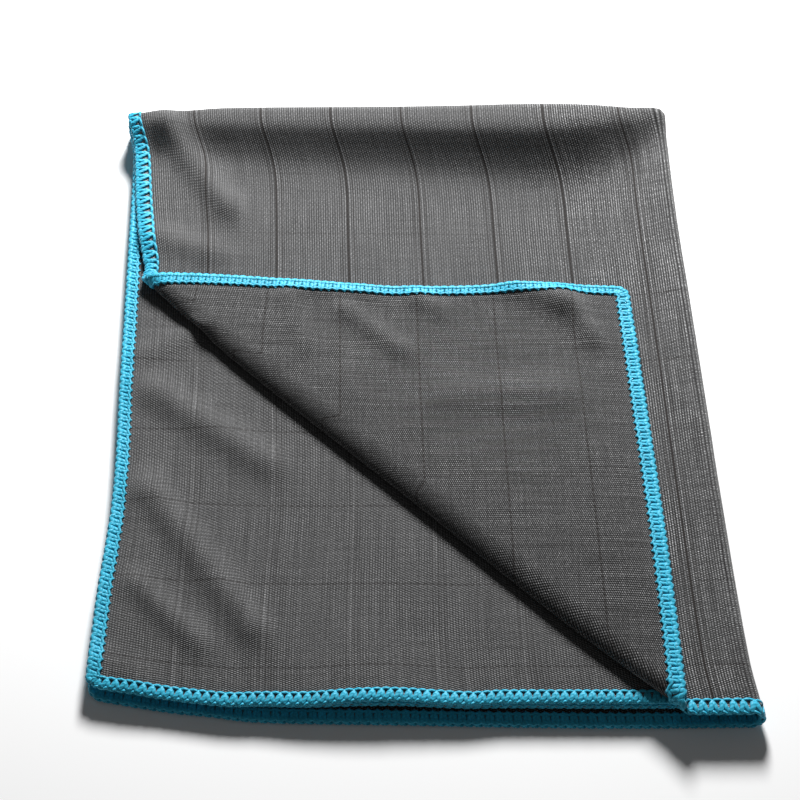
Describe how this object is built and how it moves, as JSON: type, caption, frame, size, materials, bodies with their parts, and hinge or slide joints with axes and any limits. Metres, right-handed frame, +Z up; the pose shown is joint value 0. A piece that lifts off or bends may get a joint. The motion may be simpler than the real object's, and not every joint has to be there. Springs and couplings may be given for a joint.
{
  "type": "dishcloth",
  "caption": "Woven dishcloth with an overlocked edge, folded in quarters and lying flat, one corner of its top layer turned back.",
  "frame": {"origin": "bottom centre of the folded cloth's bounding box, on the surface that it lies on", "axes": "+Z up, +Y towards the folded back edge, +X towards the folded side edge; the turned-back corner comes from the front left"},
  "size_m": [0.1838, 0.208, 0.0194],
  "materials": {
    "grey_weave": "matt woven microfibre, dark warm grey, thin woven squares",
    "turquoise_thread": "soft sheen polyester overlock thread, bright turquoise"
  },
  "bodies": {
    "root": {"cloth": "grey_weave", "edging": "turquoise_thread"}
  },
  "joints": []
}
